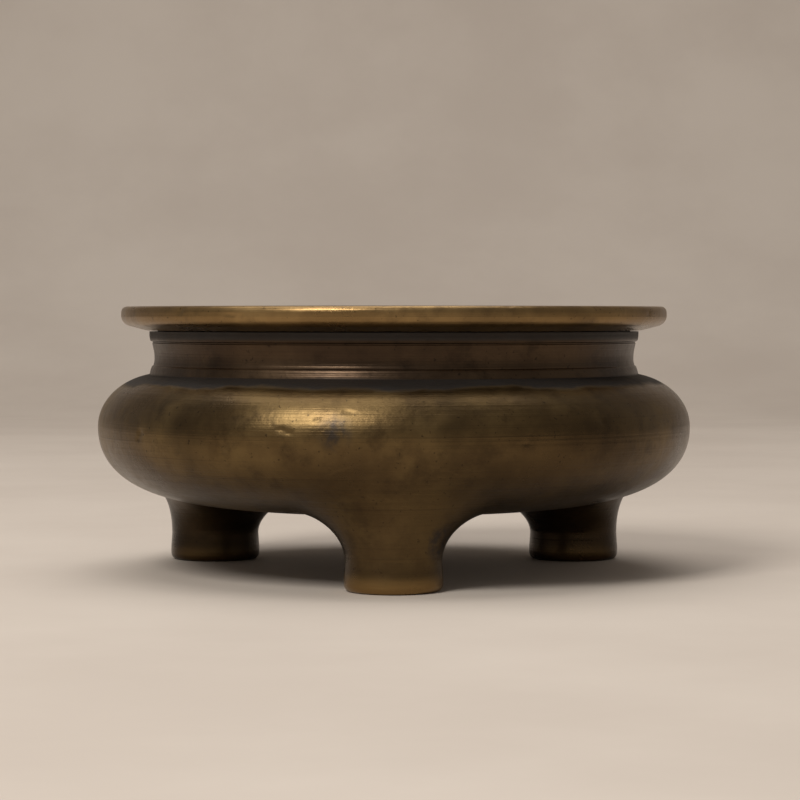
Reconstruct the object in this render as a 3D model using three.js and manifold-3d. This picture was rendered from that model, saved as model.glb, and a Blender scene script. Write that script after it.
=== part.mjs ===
import * as THREE from 'three';
import { mergeVertices } from 'three/addons/utils/BufferGeometryUtils.js';
import Module from 'manifold-3d';

// Bronze tripod incense burner: a wide flat rim on a short banded neck, a low swelling belly
// and three stout column feet that flow into its underside.
// Millimetres, +Z up, origin on the ground under the middle. The front foot stands towards -Y.

// Belly
const BELLY_RADIUS = 81.4;
const BELLY_BOTTOM = 17.2;
const BELLY_DEPTH = 22.4;
const SHOULDER_HEIGHT = 14.6;
const SHOULDER_REACH = 18;
const WALL = 4;
// Exponents of the rounded lower half: the first flattens the bottom, the second rounds its turn
const BOTTOM_FLATNESS = 4.75;
const TURN_ROUNDNESS = 2.2;

// Neck collar
const COLLAR_RADIUS = 67.3;
const COLLAR_BORE = 62;
const COLLAR_HEIGHT = 12.65;
const COLLAR_SEAT_DEPTH = 1.2;
const SPIGOT_THICKNESS = 1.7;
const SPIGOT_LENGTH = 3.15;
const LOWER_BAND_HEIGHT = 3.25;
const UPPER_BAND_HEIGHT = 2.5;
const UPPER_BAND_GROOVE = 0.55;
const BAND_TAPER = 0.7;
const NECK_WAIST = 1.5;
const TONGUE_THICKNESS = 3;
const TONGUE_HEIGHT = 3.9;

// Rim
const RIM_RADIUS = 75;
const RIM_THICKNESS = 6.5;
const RIM_SEAT_LIP = 0.6;
const RIM_SLOPE_RADIUS = 72.1;
const RIM_SLOPE_RISE = 1.05;
const RIM_EDGE_STRAIGHT = 0.7;
const RIM_TOP_ROUND = 2;
const MOUTH_RADIUS = 61.5;
const MOUTH_ROUND = 1;

// Feet
const FOOT_COUNT = 3;
const FRONT_AZIMUTH = -Math.PI / 2;
const FOOT_NAMES = ['front', 'right', 'left'];
const FOOT_CIRCLE_RADIUS = 59.6;
const FOOT_RADIUS = 12.7;
const FOOT_BASE_ROUND = 1.7;
const FOOT_WAIST_RADIUS = 12.4;
const FOOT_WAIST_HEIGHT = 7.5;
const FAIRING_REACH_OUT = 8.6;
const FAIRING_REACH_SIDE = 15;
const FAIRING_REACH_IN = 14;
const FAIRING_RISE_HANDLE = 0.5;
const FAIRING_REACH_HANDLE = 0.5;
const FAIRING_LIP = 0.4;

// Pins that hold the feet, each with a domed head on a flat pad inside the belly
const PIN_RADIUS = 4;
const PIN_END_HEIGHT = 9;
const PIN_HEAD_RADIUS = 7;
const PIN_HEAD_HEIGHT = 3;
const PAD_RADIUS = 8.4;
const PAD_HEIGHT = 24.4;

// Fit between two pieces that seat on each other
const CLEARANCE = 0.3;

// Facets
const ROUND_SEGMENTS = 48;
const FOOT_SEGMENTS = 28;
const PIN_SEGMENTS = 20;
const TURN_STEPS = 12;
const SHOULDER_STEPS = 6;
const FAIRING_STEPS = 6;
const FOOT_TOP_STEPS = 7;
const CURVE_STEPS = 4;

// Places that follow from the sizes above
const BELLY_MIDDLE = BELLY_BOTTOM + BELLY_DEPTH;
const SHOULDER_CENTRE = BELLY_RADIUS - SHOULDER_REACH;
const SEAT_RADIUS = COLLAR_RADIUS + CLEARANCE;
const SEAT_FLOOR = shoulderHeight(SEAT_RADIUS) - COLLAR_SEAT_DEPTH;
const SPIGOT_RADIUS = COLLAR_BORE + SPIGOT_THICKNESS;
const BELLY_BORE = SPIGOT_RADIUS + CLEARANCE;
const COLLAR_BOTTOM = SEAT_FLOOR + CLEARANCE;
const COLLAR_TOP = COLLAR_BOTTOM + COLLAR_HEIGHT;
const TONGUE_RADIUS = COLLAR_BORE + TONGUE_THICKNESS;
const TONGUE_TOP = COLLAR_TOP + TONGUE_HEIGHT;
const RIM_BOTTOM = COLLAR_TOP + CLEARANCE;
const RIM_TOP = RIM_BOTTOM + RIM_THICKNESS;

const wasm = await Module();
wasm.setup();

function shoulderHeight(radius) {
  const across = (radius - SHOULDER_CENTRE) / SHOULDER_REACH;
  return BELLY_MIDDLE + SHOULDER_HEIGHT * Math.sqrt(1 - across * across);
}

// Height of the belly's underside at a distance from the axis, with the form grown by a gap
function undersideHeight(radius, gap) {
  const across = (radius / (BELLY_RADIUS + gap)) ** BOTTOM_FLATNESS;
  return BELLY_MIDDLE - (BELLY_DEPTH + gap) * (1 - across) ** (1 / TURN_ROUNDNESS);
}

// The rounded lower half, from the axis up to the belly's widest level
function lowerCurve(inset) {
  const points = [];
  for (let step = 0; step <= TURN_STEPS; step += 1) {
    const angle = (Math.PI / 2) * (1 - step / TURN_STEPS);
    const across = Math.max(Math.cos(angle), 0) ** (2 / BOTTOM_FLATNESS);
    const down = Math.max(Math.sin(angle), 0) ** (2 / TURN_ROUNDNESS);
    const radius = step === 0 ? 0 : (BELLY_RADIUS - inset) * across;
    points.push(new THREE.Vector2(radius, BELLY_MIDDLE - (BELLY_DEPTH - inset) * down));
  }
  return points;
}

// The shoulder, from above the widest level in to a given radius
function shoulderCurve(inset, endRadius) {
  const points = [];
  const reach = SHOULDER_REACH - inset;
  const endAngle = Math.acos((endRadius - SHOULDER_CENTRE) / reach);
  for (let step = 1; step <= SHOULDER_STEPS; step += 1) {
    const angle = (endAngle * step) / SHOULDER_STEPS;
    const radius = SHOULDER_CENTRE + reach * Math.cos(angle);
    points.push(new THREE.Vector2(radius, BELLY_MIDDLE + (SHOULDER_HEIGHT - inset) * Math.sin(angle)));
  }
  return points;
}

// Keeps positions only, joins equal vertices and drops triangles that have shrunk to a line
function closedGeometry(geometry) {
  geometry.deleteAttribute('normal');
  geometry.deleteAttribute('uv');
  const merged = mergeVertices(geometry);
  const index = merged.getIndex().array;
  const kept = [];
  for (let corner = 0; corner < index.length; corner += 3) {
    const [a, b, c] = index.slice(corner, corner + 3);
    if (a !== b && b !== c && c !== a) {
      kept.push(a, b, c);
    }
  }
  merged.setIndex(kept);
  return merged;
}

function turned(points, segments) {
  const lathe = new THREE.LatheGeometry(points, segments);
  lathe.rotateX(Math.PI / 2);
  return closedGeometry(lathe);
}

function toManifold(geometry) {
  return new wasm.Manifold(
    new wasm.Mesh({
      numProp: 3,
      vertProperties: new Float32Array(geometry.getAttribute('position').array),
      triVerts: new Uint32Array(geometry.getIndex().array),
    }),
  );
}

function fromManifold(manifold) {
  const mesh = manifold.getMesh();
  const geometry = new THREE.BufferGeometry();
  geometry.setAttribute('position', new THREE.BufferAttribute(mesh.vertProperties, 3));
  geometry.setIndex(new THREE.BufferAttribute(mesh.triVerts, 1));
  return geometry;
}

function footAzimuth(number) {
  return FRONT_AZIMUTH + (number * 2 * Math.PI) / FOOT_COUNT;
}

// An upright cylinder on the axis of one foot, as a solid for joining and cutting
function cylinderAtFoot(number, radius, bottom, top) {
  const cylinder = new THREE.CylinderGeometry(radius, radius, top - bottom, PIN_SEGMENTS);
  cylinder.rotateX(Math.PI / 2);
  const azimuth = footAzimuth(number);
  const x = FOOT_CIRCLE_RADIUS * Math.cos(azimuth);
  const y = FOOT_CIRCLE_RADIUS * Math.sin(azimuth);
  cylinder.translate(x, y, (bottom + top) / 2);
  return toManifold(closedGeometry(cylinder));
}

// The belly is its outer form less a hollow. The hollow leaves a flat pad standing round each
// pin, and each pad is faced off where the rising wall would foul the pin's head.
function bellyGeometry() {
  const outline = [
    ...lowerCurve(0),
    ...shoulderCurve(0, SEAT_RADIUS),
    new THREE.Vector2(SEAT_RADIUS, SEAT_FLOOR),
    new THREE.Vector2(0, SEAT_FLOOR),
  ];
  const hollowOutline = [
    ...lowerCurve(WALL),
    ...shoulderCurve(WALL, BELLY_BORE),
    new THREE.Vector2(BELLY_BORE, SEAT_FLOOR + WALL),
    new THREE.Vector2(0, SEAT_FLOOR + WALL),
  ];
  let body = toManifold(turned(outline, ROUND_SEGMENTS));
  let hollow = toManifold(turned(hollowOutline, ROUND_SEGMENTS));
  const headTop = PAD_HEIGHT + CLEARANCE + PIN_HEAD_HEIGHT;
  for (let number = 0; number < FOOT_COUNT; number += 1) {
    hollow = hollow.subtract(cylinderAtFoot(number, PAD_RADIUS, BELLY_BOTTOM, PAD_HEIGHT));
    hollow = hollow.add(cylinderAtFoot(number, PIN_HEAD_RADIUS + CLEARANCE, PAD_HEIGHT, headTop));
  }
  body = body.subtract(hollow);
  for (let number = 0; number < FOOT_COUNT; number += 1) {
    body = body.subtract(cylinderAtFoot(number, PIN_RADIUS + CLEARANCE, 0, headTop));
  }
  return fromManifold(body);
}

// The collar: a spigot that drops into the belly, a lower band, a hollowed neck, an upper band
// above a sharp arris, and a tongue that the rim sits over
function collarGeometry() {
  const lowerBandTop = COLLAR_BOTTOM + LOWER_BAND_HEIGHT;
  const upperBandBottom = COLLAR_TOP - UPPER_BAND_HEIGHT;
  const neckRadius = COLLAR_RADIUS - NECK_WAIST;
  const outline = new THREE.Path();
  outline.moveTo(COLLAR_BORE, COLLAR_BOTTOM - SPIGOT_LENGTH);
  outline.lineTo(SPIGOT_RADIUS, COLLAR_BOTTOM - SPIGOT_LENGTH);
  outline.lineTo(SPIGOT_RADIUS, COLLAR_BOTTOM);
  outline.lineTo(COLLAR_RADIUS, COLLAR_BOTTOM);
  outline.lineTo(COLLAR_RADIUS, COLLAR_BOTTOM + COLLAR_SEAT_DEPTH);
  outline.lineTo(COLLAR_RADIUS - BAND_TAPER, lowerBandTop);
  outline.lineTo(neckRadius, lowerBandTop + UPPER_BAND_GROOVE);
  outline.quadraticCurveTo(
    neckRadius - UPPER_BAND_GROOVE / 2,
    (lowerBandTop + upperBandBottom) / 2,
    COLLAR_RADIUS - BAND_TAPER,
    upperBandBottom - UPPER_BAND_GROOVE,
  );
  outline.lineTo(COLLAR_RADIUS - UPPER_BAND_GROOVE, upperBandBottom);
  outline.lineTo(COLLAR_RADIUS, upperBandBottom + UPPER_BAND_GROOVE);
  outline.lineTo(COLLAR_RADIUS, COLLAR_TOP);
  outline.lineTo(TONGUE_RADIUS, COLLAR_TOP);
  outline.lineTo(TONGUE_RADIUS, TONGUE_TOP);
  outline.lineTo(COLLAR_BORE, TONGUE_TOP);
  outline.closePath();
  return turned(outline.getPoints(CURVE_STEPS), ROUND_SEGMENTS);
}

// The rim: flat on top, rounded over at its edge, sloped underneath and bored to fit the tongue
function rimGeometry() {
  const edgeBottom = RIM_TOP - RIM_TOP_ROUND - RIM_EDGE_STRAIGHT;
  const slopeTop = RIM_BOTTOM + RIM_SLOPE_RISE;
  const boreRadius = TONGUE_RADIUS + CLEARANCE;
  const boreTop = TONGUE_TOP + CLEARANCE;
  const outline = new THREE.Path();
  outline.moveTo(boreRadius, RIM_BOTTOM);
  outline.lineTo(COLLAR_RADIUS + RIM_SEAT_LIP, RIM_BOTTOM);
  outline.lineTo(RIM_SLOPE_RADIUS, slopeTop);
  outline.quadraticCurveTo(RIM_RADIUS, slopeTop + RIM_SLOPE_RISE / 2, RIM_RADIUS, edgeBottom);
  outline.lineTo(RIM_RADIUS, RIM_TOP - RIM_TOP_ROUND);
  outline.quadraticCurveTo(RIM_RADIUS, RIM_TOP, RIM_RADIUS - RIM_TOP_ROUND, RIM_TOP);
  outline.lineTo(MOUTH_RADIUS + MOUTH_ROUND, RIM_TOP);
  outline.quadraticCurveTo(MOUTH_RADIUS, RIM_TOP, MOUTH_RADIUS, RIM_TOP - MOUTH_ROUND);
  outline.lineTo(MOUTH_RADIUS, boreTop);
  outline.lineTo(boreRadius, boreTop);
  outline.closePath();
  return turned(outline.getPoints(CURVE_STEPS), ROUND_SEGMENTS);
}

// How far the fairing spreads from the column, by direction round the foot: 0 is outwards
function fairingReach(angle) {
  const outward = Math.max(Math.cos(angle), 0) ** 2;
  const inward = Math.max(-Math.cos(angle), 0) ** 2;
  const outer = (FAIRING_REACH_OUT - FAIRING_REACH_SIDE) * outward;
  const inner = (FAIRING_REACH_IN - FAIRING_REACH_SIDE) * inward;
  return FAIRING_REACH_SIDE + outer + inner;
}

// Height of a foot's seat, just under the belly, at a distance from the foot's own axis
function seatHeight(distance, angle) {
  const along = FOOT_CIRCLE_RADIUS + distance * Math.cos(angle);
  return undersideHeight(Math.hypot(along, distance * Math.sin(angle)), CLEARANCE);
}

// One foot's profile in one direction, from the middle of its base to the foot of the pin hole
function footProfile(angle) {
  const edge = FOOT_WAIST_RADIUS + fairingReach(angle);
  const edgeHeight = seatHeight(edge, angle);
  const handle = FAIRING_REACH_HANDLE * fairingReach(angle);
  const slope = edgeHeight - seatHeight(edge - 1, angle);
  const rise = FAIRING_RISE_HANDLE * (edgeHeight - FOOT_WAIST_HEIGHT);
  const path = new THREE.Path();
  path.moveTo(0, 0);
  path.lineTo(FOOT_RADIUS - FOOT_BASE_ROUND, 0);
  path.quadraticCurveTo(FOOT_RADIUS, 0, FOOT_RADIUS, FOOT_BASE_ROUND);
  path.lineTo(FOOT_WAIST_RADIUS, FOOT_WAIST_HEIGHT);
  const points = path.getPoints(CURVE_STEPS);
  const fairing = new THREE.CubicBezierCurve(
    new THREE.Vector2(FOOT_WAIST_RADIUS, FOOT_WAIST_HEIGHT),
    new THREE.Vector2(FOOT_WAIST_RADIUS, FOOT_WAIST_HEIGHT + rise),
    new THREE.Vector2(edge - handle, edgeHeight - FAIRING_LIP - handle * slope),
    new THREE.Vector2(edge, edgeHeight - FAIRING_LIP),
  );
  points.push(...fairing.getPoints(FAIRING_STEPS).slice(1));
  const holeRadius = PIN_RADIUS + CLEARANCE;
  for (let step = 0; step <= FOOT_TOP_STEPS; step += 1) {
    const distance = edge - (edge - holeRadius) * (step / FOOT_TOP_STEPS) ** 1.7;
    points.push(new THREE.Vector2(distance, seatHeight(distance, angle)));
  }
  points.push(new THREE.Vector2(holeRadius, PIN_END_HEIGHT - CLEARANCE));
  points.push(new THREE.Vector2(0, PIN_END_HEIGHT - CLEARANCE));
  return points;
}

// A foot is turned about its own axis with a profile that changes with direction, so that its
// top lies along the belly's curved underside all round. Its outward side faces +X.
function footGeometry() {
  const positions = [];
  const index = [];
  let rowLength = 0;
  for (let segment = 0; segment <= FOOT_SEGMENTS; segment += 1) {
    const angle = (2 * Math.PI * (segment % FOOT_SEGMENTS)) / FOOT_SEGMENTS;
    const profile = footProfile(angle);
    rowLength = profile.length;
    for (const point of profile) {
      positions.push(point.x * Math.cos(angle), point.x * Math.sin(angle), point.y);
    }
  }
  for (let segment = 0; segment < FOOT_SEGMENTS; segment += 1) {
    for (let row = 0; row < rowLength - 1; row += 1) {
      const here = segment * rowLength + row;
      const next = here + rowLength;
      index.push(here, next, here + 1);
      index.push(next + 1, here + 1, next);
    }
  }
  const geometry = new THREE.BufferGeometry();
  geometry.setAttribute('position', new THREE.Float32BufferAttribute(positions, 3));
  geometry.setIndex(index);
  return closedGeometry(geometry);
}

function pinGeometry() {
  const headBottom = PAD_HEIGHT + CLEARANCE;
  const outline = new THREE.Path();
  outline.moveTo(0, PIN_END_HEIGHT);
  outline.lineTo(PIN_RADIUS, PIN_END_HEIGHT);
  outline.lineTo(PIN_RADIUS, headBottom);
  outline.lineTo(PIN_HEAD_RADIUS, headBottom);
  outline.quadraticCurveTo(PIN_HEAD_RADIUS, headBottom + PIN_HEAD_HEIGHT, 0, headBottom + PIN_HEAD_HEIGHT);
  return turned(outline.getPoints(CURVE_STEPS), PIN_SEGMENTS);
}

function bronze(color, roughness) {
  return new THREE.MeshStandardMaterial({ color, roughness, metalness: 1 });
}

function named(name, geometry, material) {
  const mesh = new THREE.Mesh(geometry, material);
  mesh.name = name;
  return mesh;
}

const burner = new THREE.Group();
burner.add(named('rim_ring', rimGeometry(), bronze(0x8a6a3c, 0.38)));
burner.add(named('neck_collar', collarGeometry(), bronze(0x4a3826, 0.42)));
burner.add(named('belly_shell', bellyGeometry(), bronze(0x5e4a30, 0.4)));

for (let number = 0; number < FOOT_COUNT; number += 1) {
  const place = new THREE.Group();
  place.rotation.z = footAzimuth(number);
  const foot = named(`foot_${FOOT_NAMES[number]}`, footGeometry(), bronze(0x4c3a26, 0.42));
  const pin = named(`foot_pin_${FOOT_NAMES[number]}`, pinGeometry(), bronze(0x7a5c34, 0.5));
  foot.position.x = FOOT_CIRCLE_RADIUS;
  pin.position.x = FOOT_CIRCLE_RADIUS;
  place.add(foot, pin);
  burner.add(place);
}

export default burner;
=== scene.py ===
import math

import bpy
import numpy as np
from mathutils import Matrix, Vector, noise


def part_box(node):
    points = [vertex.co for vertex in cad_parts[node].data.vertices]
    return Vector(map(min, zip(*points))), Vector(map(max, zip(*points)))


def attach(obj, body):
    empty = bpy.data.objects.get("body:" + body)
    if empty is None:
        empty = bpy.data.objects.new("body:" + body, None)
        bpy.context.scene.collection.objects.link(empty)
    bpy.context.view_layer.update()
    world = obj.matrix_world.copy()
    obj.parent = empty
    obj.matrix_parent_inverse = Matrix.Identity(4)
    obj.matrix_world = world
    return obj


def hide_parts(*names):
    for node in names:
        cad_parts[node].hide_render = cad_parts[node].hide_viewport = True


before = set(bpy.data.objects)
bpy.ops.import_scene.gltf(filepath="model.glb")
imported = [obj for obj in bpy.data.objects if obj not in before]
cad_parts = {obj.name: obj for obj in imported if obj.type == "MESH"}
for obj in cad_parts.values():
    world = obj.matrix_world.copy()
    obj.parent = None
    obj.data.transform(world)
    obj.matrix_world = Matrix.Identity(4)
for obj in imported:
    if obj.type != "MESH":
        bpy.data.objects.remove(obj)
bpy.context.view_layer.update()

MM = 0.001

# Sizes of the form, the same as the construction's, in millimetres
CLEARANCE = 0.3
BELLY_RADIUS = 81.4
BELLY_BOTTOM = 17.2
BELLY_DEPTH = 22.4
SHOULDER_HEIGHT = 14.6
SHOULDER_REACH = 18.0
WALL = 4.0
BOTTOM_FLATNESS = 4.75
TURN_ROUNDNESS = 2.2
BELLY_MIDDLE = BELLY_BOTTOM + BELLY_DEPTH
SHOULDER_CENTRE = BELLY_RADIUS - SHOULDER_REACH

FEET = {"front": -90.0, "right": 30.0, "left": 150.0}
FOOT_CIRCLE_RADIUS = 59.6
FOOT_WAIST_RADIUS = 12.4
FOOT_WAIST_HEIGHT = 7.5
FAIRING_REACH_OUT = 8.6
FAIRING_REACH_SIDE = 15.0
FAIRING_REACH_IN = 14.0
FAIRING_REACH_HANDLE = 0.5
FAIRING_RISE_HANDLE = 0.5

PIN_RADIUS = 4.0
PIN_END_HEIGHT = 9.0
PIN_HEAD_RADIUS = 7.0
PIN_HEAD_HEIGHT = 3.0
PAD_RADIUS = 8.4
PAD_HEIGHT = 24.4

COLLAR_RADIUS = 67.3
COLLAR_BORE = 62.0
SPIGOT_RADIUS = 63.7
SPIGOT_LENGTH = 3.15
TONGUE_RADIUS = 65.0
TONGUE_HEIGHT = 3.9
RIM_SEAT_LIP = 0.6
RIM_SLOPE_RADIUS = 72.1
RIM_SLOPE_RISE = 1.05
MOUTH_RADIUS = 61.5
MOUTH_ROUND = 1.0

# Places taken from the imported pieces
COLLAR_LOW, COLLAR_HIGH = (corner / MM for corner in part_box("neck_collar"))
RIM_LOW, RIM_HIGH = (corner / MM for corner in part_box("rim_ring"))
COLLAR_BOTTOM = COLLAR_LOW.z + SPIGOT_LENGTH
COLLAR_TOP = COLLAR_HIGH.z - TONGUE_HEIGHT

# Mesh fineness
ROUND_SEGMENTS = 640
FOOT_SEGMENTS = 192
PIN_SEGMENTS = 64
LOWER_CURVE_POINTS = 160
SHOULDER_POINTS = 60
FAIRING_POINTS = 37
FOOT_TOP_POINTS = 16
PROFILE_STEP = 0.6
BELLY_STEP = PROFILE_STEP * 1.4
SHARP_EDGE_DEGREES = 38

# A radius up to this counts as on the axis
ON_AXIS = 1e-6

# Small dents and casting pits: degrees round from the front, then height, radius and depth in
# millimetres
BELLY_PITS = [
    (-8.7, 35.6, 1.3, 0.35), (-8.2, 37.0, 1.0, 0.25), (-53.6, 39.6, 1.5, 0.35),
    (-54.2, 38.0, 1.0, 0.2), (-32.2, 35.7, 1.4, 0.35), (-31.4, 37.4, 1.0, 0.25),
    (-20.0, 41.6, 1.1, 0.3), (-18.6, 41.0, 0.9, 0.25), (-13.4, 44.0, 1.0, 0.25),
    (-8.5, 46.2, 0.9, 0.25), (-7.4, 46.0, 0.9, 0.2), (24.0, 38.0, 1.0, 0.2),
    (41.0, 43.0, 1.1, 0.2), (122.0, 41.0, 1.2, 0.3), (171.0, 37.0, 1.3, 0.3),
    (-118.0, 44.0, 1.2, 0.3),
]
RIM_PITS = [
    (-47.0, 71.2, 1.4, 0.3), (-32.8, 69.8, 1.0, 0.25), (-31.0, 69.6, 0.9, 0.2),
    (-34.0, 70.1, 0.9, 0.2), (-1.5, 72.3, 1.2, 0.3), (23.0, 72.3, 1.3, 0.3),
    (64.0, 70.5, 1.0, 0.2), (140.0, 71.0, 1.2, 0.3),
]

# How wavy the old castings are, and the radius outside which the rim is weathered
BELLY_WAVINESS = 0.1
RIM_WAVINESS = 0.08
RIM_WEATHERED_FROM = 70.0

# Colours of each bronze: its body, its lighter and its darker patches
BODY_COLOURS = ((0.105, 0.066, 0.027), (0.175, 0.115, 0.046), (0.04, 0.025, 0.012))
# The collar's colours are darker than the body's as painted reflection of the dark room that the
# neck faces
COLLAR_PAINTED_REFLECTION_COLOURS = ((0.05, 0.031, 0.018), (0.085, 0.054, 0.03), (0.022, 0.014, 0.009))
RIM_COLOURS = ((0.21, 0.13, 0.052), (0.31, 0.2, 0.082), (0.11, 0.07, 0.032))
PIN_COLOURS = ((0.16, 0.1, 0.045), (0.24, 0.15, 0.07), (0.07, 0.045, 0.022))

# Colours of the crust, also used as painted shade under the rim; of the painted shade on the lower
# belly and on the rear feet; of worn places; and of the stains
DARK_PATINA_AND_SHADE = (0.012, 0.0085, 0.006)
LOWER_PAINTED_SHADE = (0.05, 0.031, 0.014)
WORN_GOLD = (0.26, 0.16, 0.06)
REAR_FEET_PAINTED_SHADE = (0.02, 0.013, 0.008)
BELLY_STAIN = (0.03, 0.029, 0.031)
FOOT_STAIN = (0.022, 0.023, 0.03)

# How fine each noise is, in cycles to the metre
BLOTCH_SCALE = 16.0
BAND_SCALE = 26.0
CLOUD_SCALE = 38.0
MOTTLE_SCALE = 120.0
LINE_SCALE = 150.0
GRAIN_SCALE = 420.0
SPECK_SCALE = 900.0

# How much finer a noise is along X, Y and Z: the level lines left by turning, and a ragged edge
LATHE_LINES = (0.04, 0.04, 9.0)
RAGGED_EDGE = (1, 1, 2.5)

# How metallic bare bronze is, and full crust
BARE_METAL = 0.9
CRUSTED_METAL = 0.1


def camera():
    """The photograph's view: a long lens level with the burner's rim, tilted a little down."""
    distance = 715.0
    height = 69.5
    aside = 1.66
    focal_pixels = 2587.0
    horizon_drop_pixels = 83.0
    frame_pixels = 800.0
    sensor = 36.0
    data = bpy.data.cameras.new("camera")
    data.sensor_width = sensor
    data.lens = focal_pixels / frame_pixels * sensor
    data.clip_start = 0.01
    data.clip_end = 20.0
    view = bpy.data.objects.new("camera", data)
    view.location = (aside * MM, -distance * MM, height * MM)
    view.rotation_euler = (math.pi / 2 - math.atan(horizon_drop_pixels / focal_pixels), 0, 0)
    bpy.context.scene.collection.objects.link(view)
    bpy.context.scene.camera = view


def underside_height(radius):
    """Height of the belly's underside at a distance from the axis."""
    across = np.clip(radius / BELLY_RADIUS, 0, 1) ** BOTTOM_FLATNESS
    return BELLY_MIDDLE - BELLY_DEPTH * (1 - across) ** (1 / TURN_ROUNDNESS)


def lower_curve(inset):
    """The belly's rounded lower half, from the axis up to its widest level."""
    angle = np.linspace(math.pi / 2, 0, LOWER_CURVE_POINTS)
    radius = (BELLY_RADIUS - inset) * np.clip(np.cos(angle), 0, 1) ** (2 / BOTTOM_FLATNESS)
    radius[0] = 0
    height = BELLY_MIDDLE - (BELLY_DEPTH - inset) * np.sin(angle) ** (2 / TURN_ROUNDNESS)
    return list(zip(radius, height))


def shoulder_curve(inset, end_radius):
    """The belly's shoulder, from above its widest level in to a given radius."""
    reach = SHOULDER_REACH - inset
    end_angle = math.acos((end_radius - SHOULDER_CENTRE) / reach)
    angle = np.linspace(0, end_angle, SHOULDER_POINTS)[1:]
    radius = SHOULDER_CENTRE + reach * np.cos(angle)
    height = BELLY_MIDDLE + (SHOULDER_HEIGHT - inset) * np.sin(angle)
    return list(zip(radius, height))


def curve(start, control, end, steps):
    """Points after start along a quadratic curve."""
    t = np.linspace(0, 1, steps + 1)[1:, None]
    a, b, c = (np.array(point, float) for point in (start, control, end))
    return [tuple(point) for point in (1 - t) ** 2 * a + 2 * t * (1 - t) * b + t ** 2 * c]


def refined(outline, step):
    """The outline with points put in so that none are further apart than step."""
    points = [np.array(outline[0], float)]
    for target in outline[1:]:
        target = np.array(target, float)
        start = points[-1]
        count = max(1, math.ceil(np.linalg.norm(target - start) / step))
        for number in range(1, count + 1):
            points.append(start + (target - start) * number / count)
    return np.array(points)


def mesh_piece(name, positions, faces, replaced, material):
    """A smooth piece on the root body that stands for one node of the construction."""
    mesh = bpy.data.meshes.new(name)
    mesh.from_pydata((np.asarray(positions) * MM).tolist(), [], faces)
    mesh.validate()
    mesh.shade_smooth()
    mesh.set_sharp_from_angle(angle=math.radians(SHARP_EDGE_DEGREES))
    mesh.materials.append(material)
    piece = bpy.data.objects.new(name, mesh)
    bpy.context.scene.collection.objects.link(piece)
    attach(piece, "root")
    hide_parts(replaced)
    return piece


def turned(rows, segments):
    """Positions and faces of a closed turned form. rows is a list of (radius, height); a row at
    radius 0 becomes one point on the axis, and an outline off the axis closes on itself."""
    positions = []
    starts = []
    angle = np.linspace(0, 2 * math.pi, segments, endpoint=False)
    for radius, height in rows:
        starts.append((len(positions), radius > ON_AXIS))
        if radius > ON_AXIS:
            level = np.full(segments, height)
            positions.extend(np.stack([radius * np.cos(angle), radius * np.sin(angle), level], 1))
        else:
            positions.append(np.array([0, 0, height]))
    faces = []
    pairs = list(zip(starts, starts[1:]))
    if starts[0][1]:
        pairs.append((starts[-1], starts[0]))
    for (low, low_is_ring), (high, high_is_ring) in pairs:
        for here in range(segments):
            after = (here + 1) % segments
            if low_is_ring and high_is_ring:
                faces.append((low + here, low + after, high + after, high + here))
            elif high_is_ring:
                faces.append((low, high + after, high + here))
            elif low_is_ring:
                faces.append((low + here, low + after, high))
    return np.array(positions), faces


def weathered(positions, pits, waviness):
    """Waviness of an old casting and its pits, always inwards so that the form keeps its size."""
    swell_scale = 0.045
    swell_share = 0.35
    ripple_scale = 0.22
    ripple_share = 0.15
    mean_share = 0.5
    pit_steepness = 2.2
    side_cosine = 0.9
    margin = 0.02
    across = np.hypot(positions[:, 0], positions[:, 1])
    safe_across = np.maximum(across, ON_AXIS)
    outward = positions[:, :2] / safe_across[:, None]
    swell = np.array([noise.noise(Vector(point) * swell_scale) for point in positions])
    ripple = np.array([noise.noise(Vector(point) * ripple_scale) for point in positions])
    inward = waviness * (mean_share + swell_share * swell + ripple_share * ripple)
    for degrees, height, radius, depth in pits:
        turn = math.radians(degrees)
        towards = np.array([math.sin(turn), -math.cos(turn)])
        near = outward @ towards > side_cosine
        spot_radius = across[near][np.argmin(abs(positions[near, 2] - height))]
        spot = np.array([*(spot_radius * towards), height])
        away = np.linalg.norm(positions - spot, axis=1) / radius
        inward = inward + depth * np.exp(-pit_steepness * away ** 2)
    shrink = np.where(across > ON_AXIS, np.maximum(across - inward - margin, 0) / safe_across, 1)
    moved = positions.copy()
    moved[:, 0] *= shrink
    moved[:, 1] *= shrink
    return moved


def foot_places():
    """Each foot's name and the place of its axis."""
    for name, degrees in FEET.items():
        turn = math.radians(degrees)
        yield name, FOOT_CIRCLE_RADIUS * math.cos(turn), FOOT_CIRCLE_RADIUS * math.sin(turn)


def belly(material):
    """The bowl: weathered outside, plain inside with a flat pad round each pin."""
    seat_radius = COLLAR_RADIUS + CLEARANCE
    bore = SPIGOT_RADIUS + CLEARANCE
    seat_floor = COLLAR_BOTTOM - CLEARANCE
    outer = lower_curve(0) + shoulder_curve(0, seat_radius)
    inner = shoulder_curve(WALL, bore)[::-1] + lower_curve(WALL)[::-1]
    outline = outer + [(seat_radius, seat_floor), (bore, seat_floor)] + inner
    positions, faces = turned(refined(outline, BELLY_STEP), ROUND_SEGMENTS)
    outer_rings = len(refined(outer, BELLY_STEP)) - 1
    outside = np.zeros(len(positions), bool)
    outside[: 1 + outer_rings * ROUND_SEGMENTS] = True
    positions[outside] = weathered(positions[outside], BELLY_PITS, BELLY_WAVINESS)
    for _, x, y in foot_places():
        away = np.hypot(positions[:, 0] - x, positions[:, 1] - y)
        low = ~outside & (positions[:, 2] < BELLY_MIDDLE)
        raised = low & (away < PAD_RADIUS) & (positions[:, 2] < PAD_HEIGHT)
        faced = low & (away < PIN_HEAD_RADIUS + CLEARANCE)
        positions[raised | faced, 2] = PAD_HEIGHT
    return mesh_piece("belly", positions, faces, "belly_shell", material)


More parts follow.
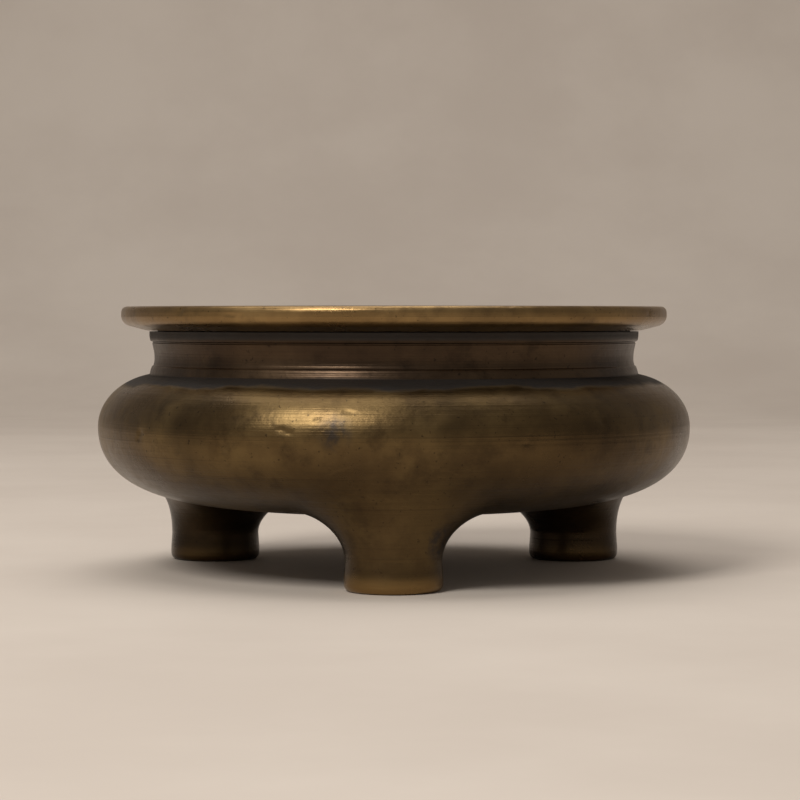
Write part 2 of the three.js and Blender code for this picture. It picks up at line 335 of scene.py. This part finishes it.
def collar(material):
    """The neck: its outline runs up from the spigot, stretch by stretch, to the tongue."""
    bottom, top, full = COLLAR_BOTTOM, COLLAR_TOP, COLLAR_RADIUS
    # Spigot and softened lower edge
    outline = [(COLLAR_BORE, COLLAR_LOW.z), (SPIGOT_RADIUS, COLLAR_LOW.z), (SPIGOT_RADIUS, bottom)]
    outline += [(full - 0.2, bottom), (full - 0.02, bottom + 0.4), (full - 0.05, bottom + 1.1)]
    # Lower band and the groove over it
    outline += curve(outline[-1], (full - 0.3, bottom + 2.2), (66.6, bottom + 3.15), 6)
    outline += [(66.15, bottom + 3.45), (66.15, bottom + 3.8), (66.0, bottom + 4.1)]
    # Hollowed neck
    outline += curve(outline[-1], (full - 1.6, bottom + 5.8), (66.2, top - 4.6), 12)
    outline += curve(outline[-1], (66.35, top - 3.8), (66.5, top - 3.2), 6)
    # Arris and upper band
    outline += [(66.3, top - 3.0), (66.35, top - 2.8), (66.95, top - 2.55)]
    outline += curve(outline[-1], (67.15, top - 2.2), (67.25, top - 1.2), 6)
    outline += [(full - 0.02, top), (TONGUE_RADIUS, top)]
    # Tongue
    outline += [(TONGUE_RADIUS, COLLAR_HIGH.z), (COLLAR_BORE, COLLAR_HIGH.z)]
    positions, faces = turned(refined(outline, PROFILE_STEP), ROUND_SEGMENTS)
    return mesh_piece("collar", positions, faces, "neck_collar", material)


def rim(material):
    """The rim: flat on top, rounded at its edge, sloped underneath and bored for the tongue."""
    bottom, top, reach = RIM_LOW.z, RIM_HIGH.z, RIM_HIGH.x
    bore = TONGUE_RADIUS + CLEARANCE
    bore_top = COLLAR_HIGH.z + CLEARANCE
    # Seat and sloped underside
    outline = [(bore, bottom), (COLLAR_RADIUS + RIM_SEAT_LIP, bottom)]
    outline += [(RIM_SLOPE_RADIUS, bottom + RIM_SLOPE_RISE)]
    # Rounded edge
    outline += curve(outline[-1], (74.7, bottom + 1.6), (reach, top - 2.7), 14)
    outline += [(reach, top - 1.9)]
    outline += curve(outline[-1], (reach, top - 0.15), (reach - 1.5, top), 14)
    # Flat top and mouth
    outline += [(MOUTH_RADIUS + MOUTH_ROUND, top)]
    outline += curve(outline[-1], (MOUTH_RADIUS, top), (MOUTH_RADIUS, top - MOUTH_ROUND), 10)
    outline += [(MOUTH_RADIUS, bore_top), (bore, bore_top)]
    positions, faces = turned(refined(outline, PROFILE_STEP), ROUND_SEGMENTS)
    outside = np.hypot(positions[:, 0], positions[:, 1]) > RIM_WEATHERED_FROM
    positions[outside] = weathered(positions[outside], RIM_PITS, RIM_WAVINESS)
    return mesh_piece("rim", positions, faces, "rim_ring", material)


def fairing_reach(angle):
    """How far a foot spreads from its column, by direction round the foot: 0 is outwards."""
    outward = max(math.cos(angle), 0) ** 2
    inward = max(-math.cos(angle), 0) ** 2
    reach = FAIRING_REACH_SIDE
    reach += (FAIRING_REACH_OUT - FAIRING_REACH_SIDE) * outward
    reach += (FAIRING_REACH_IN - FAIRING_REACH_SIDE) * inward
    return reach


def foot_profile(angle):
    """One foot's outline in one direction, as distances from its axis and heights: across the
    base, up the side to where it runs out along the belly, back over the hidden top and down the
    pin's hole. The edge and the top are sunk a hair into the belly, so that no seam shows."""
    sunk_edge = 0.05
    sunk_top = 0.25
    top_crowding = 1.7
    reach = fairing_reach(angle)

    def seat(distance):
        along = FOOT_CIRCLE_RADIUS + distance * math.cos(angle)
        return float(underside_height(math.hypot(along, distance * math.sin(angle))))

    edge = FOOT_WAIST_RADIUS + reach
    handle = reach * FAIRING_REACH_HANDLE
    rise = FAIRING_RISE_HANDLE * (seat(edge) - FOOT_WAIST_HEIGHT)
    # How far the underside rises over the last millimetre before the edge
    slope = seat(edge) - seat(edge - 1)
    # Base with a rounded edge and a slight swell
    points = [(0, 0), (10.9, 0)]
    points += curve(points[-1], (12.3, 0), (12.6, 1.4), 8)
    points += curve(points[-1], (12.8, 2.6), (12.55, 5.0), 8)
    points += [(FOOT_WAIST_RADIUS, FOOT_WAIST_HEIGHT)]
    # Fairing
    t = np.linspace(0, 1, FAIRING_POINTS)[1:, None]
    a = np.array([FOOT_WAIST_RADIUS, FOOT_WAIST_HEIGHT])
    b = np.array([FOOT_WAIST_RADIUS, FOOT_WAIST_HEIGHT + rise])
    c = np.array([edge - handle, seat(edge) - handle * slope])
    d = np.array([edge, seat(edge) + sunk_edge])
    fairing = (1 - t) ** 3 * a + 3 * t * (1 - t) ** 2 * b + 3 * t ** 2 * (1 - t) * c + t ** 3 * d
    points += [tuple(point) for point in fairing]
    # Top under the belly, and the pin's blind hole
    hole = PIN_RADIUS + CLEARANCE
    hole_bottom = PIN_END_HEIGHT - CLEARANCE
    for share in np.linspace(0, 1, FOOT_TOP_POINTS):
        distance = edge - (edge - hole) * share ** top_crowding
        points.append((distance, seat(distance) + sunk_top))
    points += [(hole, hole_bottom), (0, hole_bottom)]
    return points


def foot(name, degrees, material):
    """A foot turned about its own axis, with a profile that changes with direction."""
    turn = math.radians(degrees)
    angles = [2 * math.pi * number / FOOT_SEGMENTS for number in range(FOOT_SEGMENTS)]
    rows = [foot_profile(angle) for angle in angles]
    positions = []
    for angle, row in zip(angles, rows):
        for distance, height in row[1:-1]:
            along = FOOT_CIRCLE_RADIUS + distance * math.cos(angle)
            aside = distance * math.sin(angle)
            x = along * math.cos(turn) - aside * math.sin(turn)
            y = along * math.sin(turn) + aside * math.cos(turn)
            positions.append((x, y, height))
    ring_points = len(rows[0]) - 2
    centre_x = FOOT_CIRCLE_RADIUS * math.cos(turn)
    centre_y = FOOT_CIRCLE_RADIUS * math.sin(turn)
    base_middle = len(positions)
    positions += [(centre_x, centre_y, rows[0][0][1]), (centre_x, centre_y, rows[0][-1][1])]
    faces = []
    for number in range(FOOT_SEGMENTS):
        here = number * ring_points
        after = (number + 1) % FOOT_SEGMENTS * ring_points
        faces.append((base_middle, after, here))
        for row in range(ring_points - 1):
            faces.append((here + row, after + row, after + row + 1, here + row + 1))
        faces.append((here + ring_points - 1, after + ring_points - 1, base_middle + 1))
    piece_name = f"foot_{name}_fine"
    return mesh_piece(piece_name, positions, faces, f"foot_{name}", material)


def pin(name, x, y, material):
    """A foot's pin with a domed head, standing on its pad inside the bowl."""
    head_bottom = PAD_HEIGHT + CLEARANCE
    head_top = head_bottom + PIN_HEAD_HEIGHT
    nearly_axis = 0.001
    outline = [(0, PIN_END_HEIGHT), (PIN_RADIUS, PIN_END_HEIGHT)]
    outline += [(PIN_RADIUS, head_bottom), (PIN_HEAD_RADIUS, head_bottom)]
    dome = curve(outline[-1], (PIN_HEAD_RADIUS, head_top), (nearly_axis, head_top), 16)
    outline += dome[:-1] + [(0, head_top)]
    positions, faces = turned(refined(outline, PROFILE_STEP), PIN_SEGMENTS)
    positions += np.array([x, y, 0])
    return mesh_piece(f"pin_{name}", positions, faces, f"foot_pin_{name}", material)


class Shader:
    """A small helper that adds nodes to one material and links them."""

    def __init__(self, name):
        self.material = bpy.data.materials.new(name)
        self.material.use_nodes = True
        self.tree = self.material.node_tree
        self.surface = self.tree.nodes["Principled BSDF"]
        self.place = self.tree.nodes.new("ShaderNodeTexCoord").outputs["Object"]

    def link(self, output, socket):
        self.tree.links.new(output, socket)

    def noise(self, scale, detail, roughness, stretch=(1, 1, 1)):
        mapping = self.tree.nodes.new("ShaderNodeMapping")
        mapping.inputs["Scale"].default_value = stretch
        self.link(self.place, mapping.inputs["Vector"])
        texture = self.tree.nodes.new("ShaderNodeTexNoise")
        texture.inputs["Scale"].default_value = scale
        texture.inputs["Detail"].default_value = detail
        texture.inputs["Roughness"].default_value = roughness
        self.link(mapping.outputs["Vector"], texture.inputs["Vector"])
        return texture.outputs["Fac"]

    def along(self, axis):
        """The place along X, Y or Z, in metres."""
        split = self.tree.nodes.new("ShaderNodeSeparateXYZ")
        self.link(self.place, split.inputs["Vector"])
        return split.outputs[axis]

    def sum(self, a, b, share):
        """a plus b times share."""
        node = self.tree.nodes.new("ShaderNodeMath")
        node.operation = "MULTIPLY_ADD"
        node.inputs[1].default_value = share
        self.link(b, node.inputs[0])
        self.link(a, node.inputs[2])
        return node.outputs["Value"]

    def product(self, a, b):
        node = self.tree.nodes.new("ShaderNodeMath")
        node.operation = "MULTIPLY"
        self.link(a, node.inputs[0])
        self.link(b, node.inputs[1])
        return node.outputs["Value"]

    def fade(self, value, low, high, at_low=0.0, at_high=1.0):
        """A smooth change from at_low to at_high as value goes from low to high."""
        node = self.tree.nodes.new("ShaderNodeMapRange")
        node.interpolation_type = "SMOOTHSTEP"
        self.link(value, node.inputs["Value"])
        node.inputs["From Min"].default_value = low
        node.inputs["From Max"].default_value = high
        node.inputs["To Min"].default_value = at_low
        node.inputs["To Max"].default_value = at_high
        return node.outputs["Result"]

    def mix(self, share, a, b):
        """The colour a, with share of the colour b in it."""
        node = self.tree.nodes.new("ShaderNodeMix")
        node.data_type = "RGBA"
        self.link(share, node.inputs["Factor"])
        colour_a, colour_b = node.inputs[6], node.inputs[7]
        for socket, colour in ((colour_a, a), (colour_b, b)):
            if isinstance(colour, tuple):
                socket.default_value = (*colour, 1)
            else:
                self.link(colour, socket)
        return node.outputs[2]

    def near(self, place, radius):
        """1 at a place in millimetres, fading to 0 at radius."""
        full_share = 0.35
        node = self.tree.nodes.new("ShaderNodeVectorMath")
        node.operation = "DISTANCE"
        node.inputs[1].default_value = [number * MM for number in place]
        self.link(self.place, node.inputs[0])
        return self.fade(node.outputs["Value"], radius * full_share * MM, radius * MM, 1.0, 0.0)

    def bump(self, value, distance, strength, onto=None):
        node = self.tree.nodes.new("ShaderNodeBump")
        node.inputs["Distance"].default_value = distance
        node.inputs["Strength"].default_value = strength
        self.link(value, node.inputs["Height"])
        if onto is not None:
            self.link(onto, node.inputs["Normal"])
        return node.outputs["Normal"]


def bronze(name, colours, roughness, marks_and_painted_shade=None):
    """Old patinated bronze: mottled colour, dark specks, fine turning lines and uneven gloss.
    marks_and_painted_shade, where given, adds what only this bronze has, painted shade among it,
    and returns its colour and crust."""
    body, light, dark = colours
    shader = Shader(name)
    clouds = shader.noise(CLOUD_SCALE, 5.0, 0.6)
    grain = shader.noise(GRAIN_SCALE, 3.0, 0.6)
    lines = shader.noise(LINE_SCALE, 4.0, 0.6, LATHE_LINES)
    specks = shader.noise(SPECK_SCALE, 2.0, 0.5)
    blotches = shader.noise(BLOTCH_SCALE, 4.0, 0.6)
    mottle = shader.noise(MOTTLE_SCALE, 5.0, 0.65)
    colour = shader.mix(shader.fade(clouds, 0.38, 0.66), body, light)
    colour = shader.mix(shader.fade(blotches, 0.5, 0.74), colour, dark)
    colour = shader.mix(shader.fade(mottle, 0.5, 0.72, 0.0, 0.55), colour, dark)
    colour = shader.mix(shader.fade(lines, 0.58, 0.78, 0.0, 0.45), colour, dark)
    colour = shader.mix(shader.fade(specks, 0.66, 0.74, 0.0, 0.6), colour, DARK_PATINA_AND_SHADE)
    smooth, dull = roughness - 0.05, roughness + 0.12
    rough = shader.fade(shader.sum(clouds, grain, 0.35), 0.45, 0.95, smooth, dull)
    if marks_and_painted_shade is None:
        shader.surface.inputs["Metallic"].default_value = BARE_METAL
    else:
        colour, crust = marks_and_painted_shade(shader, colour, clouds, grain)
        rough = shader.sum(rough, crust, 0.3)
        metal = shader.fade(crust, 0.0, 1.0, BARE_METAL, CRUSTED_METAL)
        shader.link(metal, shader.surface.inputs["Metallic"])
    shader.link(colour, shader.surface.inputs["Base Color"])
    shader.link(rough, shader.surface.inputs["Roughness"])
    normal = shader.bump(lines, 0.00014, 0.8)
    normal = shader.bump(grain, 0.00010, 0.45, normal)
    normal = shader.bump(specks, 0.00010, 0.35, normal)
    shader.link(normal, shader.surface.inputs["Normal"])
    return shader.material


def body_marks_and_painted_shade(shader, colour, clouds, grain):
    """Height bands of the belly and feet, with painted shade on the lower half and the rear feet,
    the black patina under the collar, and stains.
    """
    belly_stain_place = (-14.0, -78.5, 41.0)
    foot_stain_place = (11.5, -66.0, 13.0)
    stain_radius = 6.0
    height = shader.along("Z")
    # Painted shade: darker brown on the lower half, where the belly turns down from the light
    lower = shader.fade(shader.sum(height, clouds, 0.006), 0.030, 0.044, 1.0, 0.0)
    lower_painted_shade_share = shader.product(lower, shader.fade(clouds, 0.2, 0.6, 0.75, 0.45))
    colour = shader.mix(lower_painted_shade_share, colour, LOWER_PAINTED_SHADE)
    # Ragged black crust on the shoulder
    ragged = shader.noise(BAND_SCALE, 5.0, 0.65, RAGGED_EDGE)
    crust = shader.fade(shader.sum(height, ragged, 0.0058), 0.0536, 0.0549)
    colour = shader.mix(crust, colour, DARK_PATINA_AND_SHADE)
    # Worn gold round each foot's base
    worn = shader.fade(shader.sum(height, clouds, 0.004), 0.0035, 0.0075, 0.85, 0.0)
    colour = shader.mix(worn, colour, WORN_GOLD)
    # Painted shade: nearly black rear feet, standing back under the belly
    painted_shade_behind = shader.fade(shader.along("Y"), 0.005, 0.025)
    on_feet = shader.fade(height, 0.019, 0.025, 0.85, 0.0)
    colour = shader.mix(shader.product(painted_shade_behind, on_feet), colour, REAR_FEET_PAINTED_SHADE)
    # Dark stains
    belly_stain = shader.near(belly_stain_place, stain_radius)
    belly_stain = shader.product(belly_stain, shader.fade(grain, 0.3, 0.7, 0.1, 0.75))
    colour = shader.mix(belly_stain, colour, BELLY_STAIN)
    foot_stain = shader.near(foot_stain_place, stain_radius)
    foot_stain = shader.product(foot_stain, shader.fade(grain, 0.35, 0.65, 0.0, 0.7))
    return shader.mix(foot_stain, colour, FOOT_STAIN), crust


def neck_patina_and_painted_shade(shader, colour, clouds, _grain):
    """Dark patina at the foot of the collar, and painted shade up under the rim."""
    height = shader.along("Z")
    # Painted shade: the top of the collar darkened where the rim overhangs it
    under_rim_painted_shade = shader.fade(shader.sum(height, clouds, 0.0006), 0.0632, 0.0645, 0.0, 0.85)
    foot_crust = shader.fade(shader.sum(height, clouds, 0.001), 0.0538, 0.0548, 0.9, 0.0)
    colour = shader.mix(under_rim_painted_shade, colour, DARK_PATINA_AND_SHADE)
    colour = shader.mix(foot_crust, colour, DARK_PATINA_AND_SHADE)
    # The crust returned takes in the painted shade under the rim as well
    return colour, shader.sum(under_rim_painted_shade, foot_crust, 1.0)


def stage():
    """A seamless sweep of plain pale board: floor, bend and wall."""
    half_width = 2.2
    front = -2.2
    bend_start = 1.1
    bend_radius = 0.6
    bend_steps = 24
    wall_top = 2.2
    rows = [(front, 0.0), (bend_start, 0.0)]
    for step in range(1, bend_steps + 1):
        angle = math.pi / 2 * step / bend_steps
        y = bend_start + bend_radius * math.sin(angle)
        rows.append((y, bend_radius * (1 - math.cos(angle))))
    rows.append((bend_start + bend_radius, wall_top))
    positions = []
    for y, z in rows:
        positions += [(-half_width, y, z), (half_width, y, z)]
    faces = [(2 * row, 2 * row + 1, 2 * row + 3, 2 * row + 2) for row in range(len(rows) - 1)]
    mesh = bpy.data.meshes.new("sweep")
    mesh.from_pydata(positions, [], faces)
    mesh.shade_smooth()
    board = (0.56, 0.49, 0.425)
    lighter_board = (0.62, 0.55, 0.48)
    shader = Shader("sweep_board")
    clouds = shader.noise(5.0, 6.0, 0.6)
    colour = shader.mix(shader.fade(clouds, 0.3, 0.7), board, lighter_board)
    shader.link(colour, shader.surface.inputs["Base Color"])
    shader.surface.inputs["Roughness"].default_value = 0.8
    mesh.materials.append(shader.material)
    sweep = bpy.data.objects.new("sweep", mesh)
    bpy.context.scene.collection.objects.link(sweep)


def soft_box(name, place, aim, width, height, power, colour):
    """A soft rectangular lamp, turned to face a point."""
    data = bpy.data.lights.new(name, "AREA")
    data.shape = "RECTANGLE"
    data.size = width
    data.size_y = height
    data.energy = power
    data.color = colour
    lamp = bpy.data.objects.new(name, data)
    lamp.location = place
    lamp.rotation_euler = (Vector(aim) - Vector(place)).to_track_quat("-Z", "Y").to_euler()
    bpy.context.scene.collection.objects.link(lamp)


def lights():
    """A soft lamp high at the front left, a broad one overhead and dim light all round."""
    soft_box("window", (-0.55, -0.85, 0.95), (0, 0, 0.04), 0.45, 0.5, 11.0, (1.0, 0.97, 0.93))
    soft_box("overhead", (-0.1, 0.3, 1.5), (0, 0.1, 0), 1.4, 1.2, 13.0, (1.0, 0.97, 0.94))
    world = bpy.data.worlds.new("room")
    world.use_nodes = True
    background = world.node_tree.nodes["Background"]
    background.inputs["Color"].default_value = (0.6, 0.56, 0.52, 1)
    background.inputs["Strength"].default_value = 0.42
    bpy.context.scene.world = world
    bpy.context.scene.view_settings.view_transform = "Standard"


camera()
lights()
stage()

body_bronze = bronze("body_bronze", BODY_COLOURS, 0.31, body_marks_and_painted_shade)
collar_bronze = bronze("collar_bronze", COLLAR_PAINTED_REFLECTION_COLOURS, 0.34, neck_patina_and_painted_shade)
rim_bronze = bronze("rim_bronze", RIM_COLOURS, 0.31)
pin_bronze = bronze("pin_bronze", PIN_COLOURS, 0.45)

belly(body_bronze)
collar(collar_bronze)
rim(rim_bronze)
for foot_name, foot_degrees in FEET.items():
    foot(foot_name, foot_degrees, body_bronze)
for foot_name, foot_x, foot_y in foot_places():
    pin(foot_name, foot_x, foot_y, pin_bronze)
